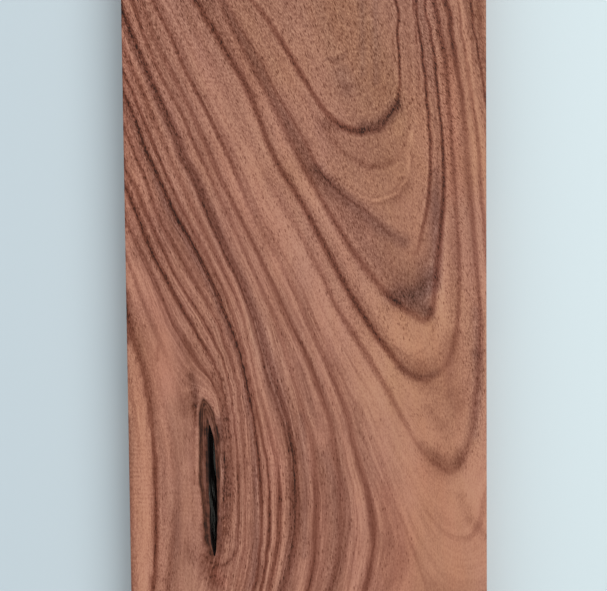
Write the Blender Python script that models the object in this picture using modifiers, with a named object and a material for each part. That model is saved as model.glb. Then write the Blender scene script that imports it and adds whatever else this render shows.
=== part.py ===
# Bolivian rosewood board: one plank sawn through a spike knot, planed flat on
# both faces, with a narrow pocket where the heart of the knot has rotted away.
# It lies on its back face. +Y runs along the grain, +Z is the planed show face.

import bmesh
import bpy

boardName = "board"
collectionName = "bolivian rosewood board"

# The plank as it leaves the planer, in metres
boardWidth = 0.178
boardLength = 0.610
boardThickness = 0.024

# Every long edge and both sawn ends are eased with one pass of a sanding block
easedEdge = 0.0006
easedEdgeSegments = 2

# The knot pocket in the show face, followed from its upper tip to its lower tip:
# place along the board, left wall and right wall at the surface, and depth
pocketStations = (
    (-0.0640, -0.0490, -0.0484, 0.0020),
    (-0.0670, -0.0493, -0.0475, 0.0052),
    (-0.0700, -0.0497, -0.0467, 0.0083),
    (-0.0750, -0.0500, -0.0461, 0.0112),
    (-0.0820, -0.0500, -0.0458, 0.0136),
    (-0.0900, -0.0499, -0.0453, 0.0152),
    (-0.0970, -0.0495, -0.0451, 0.0160),
    (-0.1050, -0.0492, -0.0452, 0.0158),
    (-0.1120, -0.0493, -0.0454, 0.0148),
    (-0.1180, -0.0492, -0.0456, 0.0130),
    (-0.1240, -0.0488, -0.0459, 0.0098),
    (-0.1280, -0.0481, -0.0461, 0.0062),
    (-0.1310, -0.0474, -0.0468, 0.0020),
)

# How the pocket narrows on its way down: share of the depth, share of the width
pocketWalls = ((0.0, 1.0), (0.45, 0.84), (0.8, 0.56), (1.0, 0.22))

# The pocket leans to the left on its way down, as the branch did in the tree:
# sideways travel for each metre of depth
pocketLean = 0.05

# The cutter stands this far out of the show face
cutterClearance = 0.003

rosewoodColour = (0.435, 0.195, 0.120, 1.0)
rosewoodRoughness = 0.52


def emptyTheScene():
    for leftover in list(bpy.data.objects):
        bpy.data.objects.remove(leftover, do_unlink=True)


def makeCollection(name):
    collection = bpy.data.collections.new(name)
    bpy.context.scene.collection.children.link(collection)
    return collection


def makeRosewood():
    material = bpy.data.materials.new("rosewood")
    material.use_nodes = True
    shader = material.node_tree.nodes["Principled BSDF"]
    shader.inputs["Base Color"].default_value = rosewoodColour
    shader.inputs["Roughness"].default_value = rosewoodRoughness
    shader.inputs["Metallic"].default_value = 0.0
    material.diffuse_color = rosewoodColour
    return material


def makePlank(collection):
    """The plank before the pocket is cut: a box with eased edges."""
    blank = bmesh.new()
    bmesh.ops.create_cube(blank, size=1.0)
    bmesh.ops.scale(blank, vec=(boardWidth, boardLength, boardThickness), verts=blank.verts)
    bmesh.ops.translate(blank, vec=(0.0, 0.0, boardThickness / 2), verts=blank.verts)
    mesh = bpy.data.meshes.new(boardName)
    blank.to_mesh(mesh)
    blank.free()
    plank = bpy.data.objects.new(boardName, mesh)
    collection.objects.link(plank)
    easing = plank.modifiers.new("eased edges", "BEVEL")
    easing.width = easedEdge
    easing.segments = easedEdgeSegments
    return plank


def pocketSection(station):
    """One slice across the pocket, from its left lip down and round to its right lip."""
    along, left, right, depth = station
    middle = (left + right) / 2
    halfWidth = (right - left) / 2
    leftWall = []
    rightWall = []
    for depthShare, widthShare in pocketWalls:
        below = depth * depthShare
        centre = middle - pocketLean * below
        height = boardThickness - below
        leftWall.append((centre - halfWidth * widthShare, along, height))
        rightWall.append((centre + halfWidth * widthShare, along, height))
    above = boardThickness + cutterClearance
    leftMouth = (left, along, above)
    rightMouth = (right, along, above)
    return [leftMouth] + leftWall + rightWall[::-1] + [rightMouth]


def makePocketCutter(collection):
    """The slices lofted into one closed body, which is what is missing from the knot."""
    loft = bmesh.new()
    rings = []
    for station in pocketStations:
        rings.append([loft.verts.new(point) for point in pocketSection(station)])
    corners = len(rings[0])
    for upper, lower in zip(rings, rings[1:]):
        for corner in range(corners):
            following = (corner + 1) % corners
            loft.faces.new((upper[corner], upper[following], lower[following], lower[corner]))
    loft.faces.new(rings[0][::-1])
    loft.faces.new(rings[-1])
    bmesh.ops.triangulate(loft, faces=loft.faces)
    mesh = bpy.data.meshes.new("knot pocket")
    loft.to_mesh(mesh)
    loft.free()
    cutter = bpy.data.objects.new("knot pocket", mesh)
    cutter.hide_render = True
    cutter.display_type = "WIRE"
    collection.objects.link(cutter)
    return cutter


def cutPocket(plank, cutter):
    pocket = plank.modifiers.new("knot pocket", "BOOLEAN")
    pocket.operation = "DIFFERENCE"
    pocket.object = cutter


def main():
    emptyTheScene()
    parts = makeCollection(collectionName)
    cutters = makeCollection("cutters")
    plank = makePlank(parts)
    plank.data.materials.append(makeRosewood())
    cutPocket(plank, makePocketCutter(cutters))
    print("board", boardWidth, "by", boardLength, "by", boardThickness, "metres")


main()
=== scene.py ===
# Bolivian rosewood board: a planed plank on its back, with an open knot in the show face.
# Its figure grows from the traced lines below, so the face, the edges, both ends and the
# back all belong to the same tree.
import math

import bmesh
import bpy
import numpy as np
from mathutils import Matrix
from mathutils import Vector
from mathutils import noise


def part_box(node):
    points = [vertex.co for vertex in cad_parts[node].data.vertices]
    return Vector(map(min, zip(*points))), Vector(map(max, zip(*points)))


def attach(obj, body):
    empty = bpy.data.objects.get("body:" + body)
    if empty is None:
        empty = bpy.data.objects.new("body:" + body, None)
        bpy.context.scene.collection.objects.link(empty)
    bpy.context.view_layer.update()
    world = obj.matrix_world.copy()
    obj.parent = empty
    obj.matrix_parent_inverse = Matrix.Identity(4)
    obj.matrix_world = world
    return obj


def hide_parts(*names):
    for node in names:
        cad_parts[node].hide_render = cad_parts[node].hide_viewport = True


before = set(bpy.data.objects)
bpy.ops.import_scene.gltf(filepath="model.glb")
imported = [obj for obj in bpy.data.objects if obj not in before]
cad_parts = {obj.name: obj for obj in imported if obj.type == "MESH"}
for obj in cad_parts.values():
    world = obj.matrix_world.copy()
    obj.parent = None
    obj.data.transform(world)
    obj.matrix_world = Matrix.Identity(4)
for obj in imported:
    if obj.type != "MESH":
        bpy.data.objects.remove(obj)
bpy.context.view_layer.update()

plankLow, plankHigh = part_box("board")
mm = 0.001
halfWidth = (plankHigh.x - plankLow.x) / 2 / mm
halfLength = (plankHigh.y - plankLow.y) / 2 / mm
thickness = (plankHigh.z - plankLow.z) / mm
print("board", round(halfWidth * 2), "x", round(halfLength * 2), "x", round(thickness), "mm")

# How the plank is meshed, in mm
plank = {
    "easedEdge": 0.6,           # one pass of a sanding block
    "cell": 1.6,                # mesh across the board
    "cellAlong": 1.5,           # mesh along the stretch that the camera sees
    "cellFarEnds": 5.0,         # mesh along both ends
    "cellAtKnot": 1.0,
    "cellDown": 0.9,            # mesh down the edges and ends
    "seenFrom": -152,
    "seenTo": 149,
    "ringLean": 2.0,            # how far a growth line moves along the board for each mm of depth
    "sharpFrom": 38,            # degrees between faces that stay a sharp edge
}

# Growth lines, from the heart outwards. "age" is their order in the tree, close to mm of growth.
# A trace is followed from the top end, in mm from the middle of the show face. "left" and
# "right" give how a line looks on either side of the arches: place along the board, how dark
# (0 to 1) and how wide in mm. A line without a trace runs between its neighbours.
unseenRight = ((0, 0.3, 1),)    # for lines that never come up on the right side
growthLines = {
    "heart": {
        "age": 0,
        "left": ((143, 0.1, 1), (165, 0.3, 2.4), (190, 0.34, 3.4)),
        "right": ((143, 0.1, 1), (165, 0.3, 2), (190, 0.34, 2.8)),
        "traces": (
            ((-44, 305), (-4, 222), (12, 196), (22, 190), (30, 198), (33, 226), (31, 305)),
        ),
    },
    "innerArch": {
        "age": 9,
        "left": ((143, 0.12, 1.5), (165, 0.35, 2.6), (185, 0.4, 3.2)),
        "right": ((143, 0.1, 1), (165, 0.4, 2), (185, 0.45, 2.4)),
        "traces": (
            ((-66, 305), (10, 150), (20, 141), (30, 144), (37, 165), (35, 305)),
        ),
    },
    "firstArch": {
        "age": 20,
        "left": ((145, 0.45, 1.8), (129, 0.55, 2), (119, 0.75, 2.2), (104, 0.75, 2.2),
            (92, 0.7, 2.2), (84, 0.65, 2.6), (80, 0.6, 2.8)),
        "right": ((80, 0.3, 2.6), (88, 0.35, 2.2), (94, 0.45, 1.6), (100, 0.5, 1.2), (106, 0.85, 1),
            (143, 0.95, 1.1)),
        "traces": (
            ((-84, 290), (-68, 240), (-36, 162), (-25.5, 144), (-19.5, 137.5), (-14, 129),
             (-9, 121), (11, 89), (26.5, 80), (36, 83), (40.5, 87.5), (43.5, 91), (45.5, 95.5),
             (46.5, 101.5), (46.5, 113), (45.5, 129), (44.5, 143.5), (40, 305)),
        ),
    },
    "firstEcho": {
        "age": 26,
        "left": ((143, 0.08, 1.5), (70, 0.12, 2)),
        "right": ((143, 0.06, 1), (70, 0.12, 2)),
        "traces": (
            ((1, 94), (16, 73), (21, 68.5), (27, 64.5), (33, 63), (39, 63.5), (44, 66), (48.5, 72),
             (52, 95), (50, 143)),
        ),
    },
    "paleArc": {
        "age": 33.5,
        "left": ((143, 0.03, 1),),
        "right": ((143, 0.03, 1),),
        "traces": (
            ((10, 61), (23, 50), (27.5, 47.5), (31.5, 46), (36, 45.5), (48.5, 53), (56, 82),
             (53, 143)),
        ),
    },
    "purpleInner": {
        "age": 36,
        "left": ((143, 0.3, 1.4), (120, 0.35, 1.4), (100, 0.4, 1.3), (71, 0.4, 1.4),
            (55, 0.35, 1.5), (42, 0.2, 1.6), (25, 0.08, 1.2)),
        "right": ((20, 0.3, 1.2), (42, 0.7, 1.5), (60, 0.9, 1.3), (100, 1, 1.2), (143, 1, 1.2)),
        "traces": (
            ((-60, 205), (-47, 163), (-37.5, 143.5), (-34, 136.5), (-29.5, 129), (-19, 111),
             (-14, 100), (0.5, 75), (4, 67), (10.5, 57.5), (17, 50.5), (31, 40), (44, 27),
             (52, 19.5), (55, 21.5), (57, 31), (60, 44), (61.5, 67.5), (60.5, 91.5), (58.5, 110.5),
             (57, 123), (56, 130), (54.5, 143), (50, 210), (48, 305)),
        ),
    },
    "purpleOuter": {
        "age": 42,
        "left": ((143, 0.25, 2), (71, 0.3, 2), (42, 0.6, 2), (13, 0.55, 2.6), (-10, 0.4, 2.6)),
        "right": ((-10, 0.5, 2.6), (5, 0.6, 2.8), (15, 0.7, 2.6), (42, 0.95, 1.8), (71, 1, 1.2),
            (100, 0.95, 1.2), (143, 0.75, 1.2)),
        "traces": (
            ((-66, 207), (-52, 168), (-40, 143), (-37.5, 135.5), (-9, 80), (-2, 65), (18, 30),
             (28, 15), (42, -2.5), (45.5, -5), (49, -7.5), (53, -10), (57, -12), (60, -11.5),
             (62, -8), (68, 55), (64, 110.5), (62.5, 123), (61.5, 130.5), (59.5, 143), (53.5, 210),
             (51.5, 305)),
        ),
    },
    "secondArch": {
        "age": 50,
        "left": ((145, 0.65, 2.2), (125, 0.65, 2.2), (100, 0.6, 2.3), (71, 0.65, 2.2),
            (42, 0.75, 2.3), (13, 0.75, 2.3), (-16, 0.9, 2.5), (-30, 0.75, 2.4), (-40, 0.3, 2.8)),
        "right": ((-45, 0.1, 2.6), (-35, 0.22, 2.6), (-16, 0.42, 2), (13, 0.42, 1.6),
            (80, 0.38, 1.5), (100, 0.55, 1.8), (120, 0.75, 2.2), (143, 0.72, 2.1)),
        "traces": (
            ((-84, 205), (-53, 144.5), (-45.5, 133), (-39, 120.5), (-31.5, 108), (-24.5, 93),
             (-17.5, 73.5), (-12, 62), (-2.5, 46.5), (26.5, -8), (48, -37.5), (51.5, -40),
             (54.5, -41.5), (58, -41.5), (65, -39), (72, -28), (75.5, 11.5), (70, 104),
             (68.5, 116.5), (67.5, 123), (66, 130.5), (65, 136.5), (63.5, 143), (57, 210),
             (55, 305)),
        ),
    },
    "thirdArch": {
        "age": 59,
        "left": ((145, 0.05, 1), (60, 0.12, 1.4), (42, 0.2, 2), (13, 0.38, 2.4), (-16, 0.52, 2.4),
            (-45, 0.48, 2.4), (-70, 0.25, 1.8), (-85, 0.2, 2)),
        "right": ((-88, 0.2, 2.4), (-74, 0.25, 2.4), (-45, 0.38, 2.6), (-16, 0.45, 2),
            (13, 0.5, 1.8), (42, 0.5, 2.2), (71, 0.45, 2.4), (100, 0.7, 2), (120, 0.9, 2.2),
            (143, 0.95, 2.1)),
        "traces": (
            ((-62, 145), (-21, 62), (-5, 34.5), (3, 19), (10, 5.5), (12, 0), (14, -4.5),
             (36.5, -41.5), (53, -73), (61.5, -82), (66, -86.5), (70, -89), (73.5, -87.5),
             (76.5, -82), (79, -77), (82, -65), (83.5, -51), (84.5, -43.5), (85, -35), (85.5, -25),
             (85, -1), (77.5, 91.5), (75.5, 104), (74.5, 110.5), (72.5, 123), (71.5, 129),
             (69, 142.5), (62.5, 210), (60.5, 305)),
        ),
    },
    "faintArch": {
        "age": 65,
        "left": ((145, 0.15, 1.2), (71, 0.12, 1.4), (42, 0.04, 1.2), (0, 0.06, 1.2),
            (-60, 0.04, 1.2), (-132, 0.12, 2)),
        "right": ((-132, 0.2, 2.6), (-103, 0.25, 2.6), (-60, 0.3, 2), (42, 0.5, 2), (100, 0.5, 1.6),
            (143, 0.35, 1.1)),
        "traces": (
            ((54.5, -100), (62, -112.5), (68, -119), (75, -122.5), (81.5, -120.5), (85, -115.5),
             (88.5, -100)),
            ((85, 73), (81.5, 98), (78, 123), (75.5, 141.5), (69.5, 210), (67.5, 305)),
        ),
    },
    "faintSweep": {
        "age": 70,
        "left": ((143, 0.08, 1), (40, 0.2, 1), (0, 0.2, 1), (-60, 0.15, 1)),
        "right": ((0, 0.1, 1),),
        "traces": (
            ((25.3, -55), (31.8, -74), (42.2, -100), (51, -125), (60, -150), (74, -185)),
        ),
    },
    "fourthArch": {
        "age": 74,
        "left": ((145, 0.6, 2.2), (100, 0.65, 2.1), (71, 0.55, 2.4), (42, 0.28, 2.8),
            (13, 0.24, 2.4), (-16, 0.36, 2.2), (-45, 0.45, 2.6), (-74, 0.42, 3), (-103, 0.68, 3),
            (-147, 0.6, 3.2)),
        "right": ((80, 0.6, 1.1), (96, 0.75, 1.2), (143, 0.8, 1.4)),
        "traces": (
            ((-88, 180), (-80, 158), (-63, 123), (-59.5, 113.5), (-42, 78.5), (-33, 57.5),
             (-25.5, 38.5), (-8, 6.5), (2.5, -19), (9, -32), (19, -59), (22.5, -73.5), (30, -101),
             (32.5, -119), (31, -133), (28, -147), (17, -195), (18, -305)),
            ((88.5, 96), (85, 118), (84, 124), (82.5, 130), (81, 142.5), (75, 210), (73, 305)),
        ),
    },
    "rimLine": {
        "age": 78,
        "left": ((100, 0.12, 1),),
        "right": ((110, 0.22, 2), (143, 0.25, 2)),
        "traces": (
            ((87.5, 118), (85.5, 142.5), (80.5, 210), (78.5, 305)),
        ),
    },
    "longLine": {
        "age": 83,
        "left": ((145, 0.3, 2.2), (100, 0.4, 2.2), (71, 0.45, 2.4), (42, 0.55, 2.1), (13, 0.5, 2.2),
            (-16, 0.45, 2.6), (-45, 0.6, 2.6), (-74, 0.42, 2.8), (-103, 0.36, 3), (-147, 0.28, 3)),
        "traces": (
            ((-88.5, 164), (-78, 143), (-76, 135.5), (-70.5, 121), (-57, 94), (-41.5, 58),
             (-20, 13.5), (-11, -7.5), (-2.5, -25), (7.5, -51), (12.5, -69), (13, -75), (14, -83.5),
             (14.5, -88), (16, -97.5), (16.5, -107), (16, -118), (13.5, -135), (11, -145),
             (0.5, -195), (1, -305)),
        ),
    },
    "longEcho": {
        "age": 89.5,
        "left": ((145, 0.6, 1.6), (110, 0.45, 1.4), (71, 0.5, 1.5), (42, 0.3, 1.5), (0, 0.34, 1.5),
            (-45, 0.28, 2), (-74, 0.42, 2.6), (-103, 0.46, 2.6), (-147, 0.58, 2.8)),
        "traces": (
            ((-88.5, 154), (-83, 142.5), (-79, 130), (-71, 110), (-59.5, 88), (-54, 73.5),
             (-49, 64), (-21, 0.5), (-13, -20), (0, -67), (2.5, -79), (3.5, -92.5), (4, -107),
             (2.5, -131.5), (-0.5, -146), (-11, -195), (-11, -305)),
        ),
    },
    "bandInner": {
        "age": 95.8,
        "left": ((143, 0.8, 2.2), (129, 0.8, 2.3), (100, 0.65, 2.6), (71, 0.35, 1.8),
            (42, 0.3, 1.6), (13, 0.25, 1.6), (-16, 0.2, 1.6), (-45, 0.35, 1.8), (-74, 0.4, 2.4),
            (-103, 0.42, 2.8), (-147, 0.3, 2.8)),
    },
    "bandMiddle": {
        "age": 96,
        "traces": (
            ((-89, 140), (-75, 105.5), (-61, 74.5), (-59.5, 68.5), (-54, 59.5), (-44.5, 35.5),
             (-35, 14), (-32, 8.5), (-30, 3), (-23.5, -16), (-9, -67), (-8, -74), (-7, -80.5),
             (-7, -86.5), (-6.5, -99), (-7, -118), (-10, -136), (-13, -147), (-24, -195),
             (-27, -230), (-26, -305)),
        ),
    },
    "bandOuter": {
        "age": 97.8,
        "left": ((143, 0.15, 1), (100, 0.2, 1), (71, 0.35, 1.4), (42, 0.6, 1.5), (13, 0.65, 1.5),
            (-16, 0.42, 1.5), (-45, 0.25, 1.2), (-147, 0.12, 1.2)),
    },
    "redLine": {
        "age": 102.7,
        "left": ((143, 0.3, 2.2), (100, 0.32, 2.2), (71, 0.14, 1.6), (42, 0.3, 1.7), (13, 0.4, 1.8),
            (-16, 0.2, 1.5), (-45, 0.12, 1.5), (-74, 0.3, 1.7), (-103, 0.8, 1.8),
            (-147, 0.45, 2.2)),
    },
    "besideBlack": {
        "age": 107.8,
        "left": ((100, 0.75, 1.4), (71, 0.8, 1.3), (42, 0.62, 1.3), (13, 0.5, 2), (-16, 0.4, 2),
            (-45, 0.5, 1.4), (-74, 0.65, 1.3), (-103, 1, 1.4), (-147, 0.95, 1.3)),
        "traces": (
            ((-88.5, 110), (-82, 96), (-79.5, 88.5), (-64.5, 51.5), (-45, 12.5), (-42, 6),
             (-39, -1), (-32.5, -23.5), (-21, -80), (-19.5, -112.5), (-21, -129), (-24, -146),
             (-35, -195), (-38, -230), (-37, -305)),
        ),
    },
    "blackLine": {
        "age": 112,
        "left": ((99, 0.65, 1.6), (71, 0.92, 1.6), (42, 1.1, 1.8), (13, 0.95, 1.7), (-16, 0.9, 1.6),
            (-45, 0.95, 1.5), (-74, 0.9, 1.4), (-103, 0.75, 1.3), (-147, 0.7, 1.4)),
        "right": ((0, 0.5, 1),),
        "traces": (
            ((-88.5, 100), (-80, 79.5), (-76.5, 68.5), (-64.5, 42), (-52.5, 19.5), (-43, -1),
             (-41.5, -6), (-32.5, -30), (-27, -59.5), (-24, -86.5), (-23.5, -117.5), (-26, -141.5),
             (-38, -195), (-41.5, -230), (-40.5, -305)),
        ),
    },
    "redBand": {
        "age": 119.5,
        "left": ((83, 0.6, 1.2), (42, 0.5, 1.6), (13, 0.5, 1.6), (-16, 0.6, 1.5), (-40, 0.33, 1.3),
            (-100, 0.28, 1.1)),
        "traces": (
            ((-88.5, 83), (-79, 59.5), (-71.5, 37), (-47, -7), (-43, -16.5), (-40, -25.5),
             (-36, -40), (-32, -77), (-32, -120.5), (-36.5, -146), (-47, -195), (-50, -230),
             (-49, -305)),
        ),
    },
    "hookLine": {
        "age": 125.5,
        "left": ((62, 0.5, 1.4), (42, 0.65, 1.7), (13, 0.65, 1.2), (-16, 0.7, 1.1), (-45, 0.5, 0.9),
            (-74, 0.4, 0.9), (-103, 0.4, 0.9), (-132, 0.2, 1.2)),
        "traces": (
            ((-88, 62), (-81.5, 49), (-68.5, 18.5), (-62, 6), (-52, -10.5), (-46.5, -21),
             (-42, -30), (-36, -59.5), (-35, -118), (-40.5, -146), (-53.5, -230), (-52.5, -305)),
        ),
    },
    "secondBlack": {
        "age": 131,
        "left": ((53, 0.88, 1.7), (13, 0.95, 1.8), (-16, 0.8, 1.5), (-35, 0.55, 1.4),
            (-50, 0.35, 1.6), (-74, 0.15, 1.6), (-130, 0.1, 1.5)),
        "right": ((0, 0.4, 1),),
        "traces": (
            ((-88, 53.5), (-75.5, 21.5), (-62, -4.5), (-51, -25), (-45, -36.5), (-39, -66),
             (-38, -99), (-38.5, -118), (-39.5, -125), (-40.5, -131), (-45, -150), (-50, -168),
             (-57, -230), (-56, -305)),
        ),
    },
    "knotRing": {
        "age": 137,
        "left": ((39, 0.22, 1.6), (13, 0.32, 1.8), (-16, 0.25, 1.5), (-45, 0.38, 1.2),
            (-65, 0.2, 1.2), (-74, 0.14, 1.2), (-132, 0.15, 1.2)),
        "traces": (
            ((-88.5, 39), (-65.5, -14), (-62.5, -19), (-59.5, -24), (-54, -33), (-48.5, -40),
             (-46, -44), (-42, -59), (-41, -85), (-42.5, -120), (-45, -134), (-47, -141),
             (-49, -149), (-58, -195), (-60.5, -230), (-59.5, -305)),
        ),
    },
    "besideKnot": {
        "age": 143.5,
        "left": ((20, 0.35, 1.6), (0, 0.3, 2), (-16, 0.25, 2.6), (-45, 0.1, 1.5), (-80, 0.03, 1),
            (-147, 0.04, 1)),
        "traces": (
            ((-88.5, 20), (-72, -25), (-66, -42), (-63.5, -50), (-60.5, -68), (-60, -134),
             (-66.5, -230), (-65.5, -305)),
        ),
    },
    "mottledLine": {
        "age": 147.5,
        "left": ((5, 0.05, 1.5), (-45, 0.05, 2), (-74, 0.08, 2.5), (-103, 0.15, 2.6),
            (-146, 0.22, 2.6)),
        "traces": (
            ((-88.5, 5), (-77, -30), (-69, -62), (-66, -88), (-66, -103), (-69, -130),
             (-69.5, -136.5), (-70.5, -142.5), (-71.5, -155), (-74.5, -230), (-73, -305)),
        ),
    },
    "leftDark": {
        "age": 152,
        "left": ((-10, 0.5, 2.8), (-45, 0.5, 3), (-60, 0.65, 2.6), (-74, 0.8, 2.4), (-103, 1, 2.1),
            (-132, 0.95, 2.4), (-146, 0.85, 2.6)),
        "traces": (
            ((-88, -10), (-85.5, -22.5), (-80.5, -41), (-77, -71), (-76, -92.5), (-76.5, -124),
             (-78.5, -146.5), (-83, -230), (-81.5, -305)),
        ),
    },
    "leftEcho": {
        "age": 154,
        "left": ((-40, 0.03, 0.8), (-146, 0.05, 1)),
    },
    "leftRim": {
        "age": 159,
        "left": ((-35, 0.2, 1.5), (-74, 0.12, 1.5), (-103, 0.02, 1.5), (-140, 0.05, 1.5)),
        "traces": (
            ((-89, -35), (-85.5, -60), (-84, -90), (-84.5, -125), (-88.5, -185)),
        ),
    },
}

# The middle of the arches, top to bottom: what lies right of it belongs to their right side
archSpine = ((305, 33), (190, 24), (80, 27), (63, 33), (45, 37), (19, 52), (-12, 60), (-42, 58),
             (-89, 70), (-122, 76), (-305, 84))

# Broad soft bands that follow the growth: age, reach, how many more pores, how much redder
# (less than 0: greyer), and darkness left and right of the arches (place along the board, how
# dark; a band without "right" doesn't show there)
noTone = ((0, 0),)
growthBands = {
    "purpleBand": {
        "age": 39.2, "reach": 3.2, "pores": 0.35, "red": -0.35,
        "left": ((145, 0.09), (120, 0.13), (100, 0.15), (60, 0.15), (50, 0.1), (40, 0.05),
            (30, 0.03), (0, 0.03)),
        "right": ((0, 0.08), (40, 0.08), (60, 0.06), (100, 0.05), (143, 0.06)),
    },
    "besideSecondArch": {
        "age": 48.6, "reach": 2.6, "pores": 0.2, "red": 0,
        "left": ((145, 0.09), (60, 0.07), (0, 0.09), (-38, 0.12)),
        "right": ((-38, 0.08), (0, 0.05), (143, 0.06)),
    },
    "paleSecond": {
        "age": 45.5, "reach": 1.6, "pores": -0.2, "red": 0.2,
        "left": ((143, 0), (60, -0.03), (0, -0.04)),
    },
    "brownStreak": {
        "age": 56.5, "reach": 1.3, "pores": 0.2, "red": 0.2,
        "left": ((145, 0.06), (60, 0.03), (0, 0)),
        "right": ((0, 0.03), (143, 0.05)),
    },
    "paleThird": {
        "age": 62.5, "reach": 2, "pores": -0.3, "red": 0.2,
        "left": ((143, -0.02), (0, -0.04)),
        "right": ((0, -0.03), (143, 0)),
    },
    "paleFaint": {
        "age": 66.5, "reach": 2.6, "pores": -0.4, "red": 0.2,
        "left": ((143, -0.03), (0, -0.03)),
        "right": ((0, -0.02), (143, -0.06)),
    },
    "besideFourthArch": {
        "age": 72.2, "reach": 2, "pores": 0.2, "red": 0.1,
        "left": ((145, 0.06), (0, 0.04), (-60, 0.05)),
        "right": ((0, 0.04), (143, 0.08)),
    },
    "paleFourth": {
        "age": 77.3, "reach": 1.4, "pores": -0.3, "red": 0.3,
        "left": ((143, -0.05), (-40, -0.03), (-147, -0.04)),
        "right": ((0, 0), (143, 0.08)),
    },
    "besideLongLine": {
        "age": 81.4, "reach": 2, "pores": 0.2, "red": -0.1,
        "left": ((145, 0.05), (0, 0.06), (-147, 0.06)),
    },
    "longBetween": {
        "age": 88, "reach": 2.4, "pores": 0.1, "red": 0.1,
        "left": ((145, 0.06), (0, 0.05), (-147, 0.05)),
    },
    "darkBand": {
        "age": 96.4, "reach": 2.6, "pores": 0.4, "red": -0.6,
        "left": ((143, 0.1), (100, 0.12), (60, 0.15), (20, 0.14), (-20, 0.12), (-60, 0.14),
            (-100, 0.16), (-147, 0.15)),
    },
    "paleAfterBand": {
        "age": 99.8, "reach": 0.9, "pores": -0.3, "red": 0.1,
        "left": ((143, -0.08), (80, -0.06), (0, -0.02), (-147, -0.03)),
    },
    "redBetween": {
        "age": 103, "reach": 1.8, "pores": 0.1, "red": 0.7,
        "left": ((143, 0.07), (71, 0.05), (0, 0.05), (-16, 0.01), (-50, 0.02), (-74, 0.05),
            (-147, 0.07)),
    },
    "beforeBlack": {
        "age": 110.4, "reach": 1.6, "pores": 0.2, "red": 0,
        "left": ((143, 0.05), (0, 0.08), (-147, 0.08)),
    },
    "greyAfterBlack": {
        "age": 113.8, "reach": 1.5, "pores": 0.4, "red": -0.7,
        "left": ((100, 0.12), (0, 0.1), (-60, 0.12), (-147, 0.08)),
    },
    "redWood": {
        "age": 117, "reach": 2.4, "pores": 0.2, "red": 0.5,
        "left": ((90, 0.06), (0, 0.05), (-147, 0.05)),
    },
    "beforeHook": {
        "age": 124.6, "reach": 1.8, "pores": 0.2, "red": 0.2,
        "left": ((90, 0.04), (0, 0.06), (-147, 0.06)),
    },
    "beforeSecondBlack": {
        "age": 129.6, "reach": 1.3, "pores": 0.3, "red": 0,
        "left": ((60, 0.1), (0, 0.1), (-40, 0.08), (-60, 0.05), (-147, 0.05)),
    },
    "brownByKnot": {
        "age": 133.5, "reach": 3, "pores": 0.4, "red": 0,
        "left": ((60, 0), (0, 0.04), (-40, 0.06), (-60, 0.07), (-110, 0.07), (-147, 0.05)),
    },
    "redByKnot": {
        "age": 137, "reach": 1.8, "pores": 0.1, "red": 0.5,
        "left": ((60, 0.05), (0, 0.06), (-147, 0.03)),
    },
    "orangeSmooth": {
        "age": 141, "reach": 2.2, "pores": -0.5, "red": 0.6,
        "left": ((60, -0.02), (0, -0.03), (-40, -0.02), (-60, 0)),
    },
    "paleLeft": {
        "age": 146, "reach": 1.4, "pores": -0.3, "red": 0.4,
        "left": ((60, -0.02), (-80, -0.03), (-147, -0.03)),
    },
    "mottledBand": {
        "age": 146.5, "reach": 1.5, "pores": 0.6, "red": -0.4,
        "left": ((10, 0), (-60, 0.02), (-80, 0.06), (-103, 0.09), (-146, 0.12)),
    },
    "besideLeftDark": {
        "age": 150.6, "reach": 1.2, "pores": 0.2, "red": -0.2,
        "left": ((0, 0.08), (-30, 0.1), (-60, 0.08), (-146, 0.08)),
    },
    "paleEdge": {
        "age": 156, "reach": 1.8, "pores": -0.4, "red": 0.5,
        "left": ((0, -0.03), (-146, -0.04)),
    },
}

# Where the grain is coarse and where it is close: path, reach, coarser (less than 0: closer)
coarseAreas = (
    (((-90, 146), (90, 146)), 60, 0.3),
    (((-18, -20), (-10, -60)), 10, 0.35),
    (((84, -10), (84, -80)), 8, 0.4),
    (((-82, 140), (-80, 20)), 14, 0.3),
    (((60, 150), (64, 60)), 7, 0.55),
    (((-44, 0), (-38, -60), (-36, -150)), 11, 0.45),
    (((-14, -80), (-16, -150)), 8, 0.45),
    (((-74, -22), (-65, -60), (-62, -150)), 7, -0.4),
    (((70, -30), (72, -150)), 24, -0.4),
    (((46, 60), (50, 10)), 12, -0.3),
    (((34, -60), (44, -140)), 14, -0.15),
)

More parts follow.
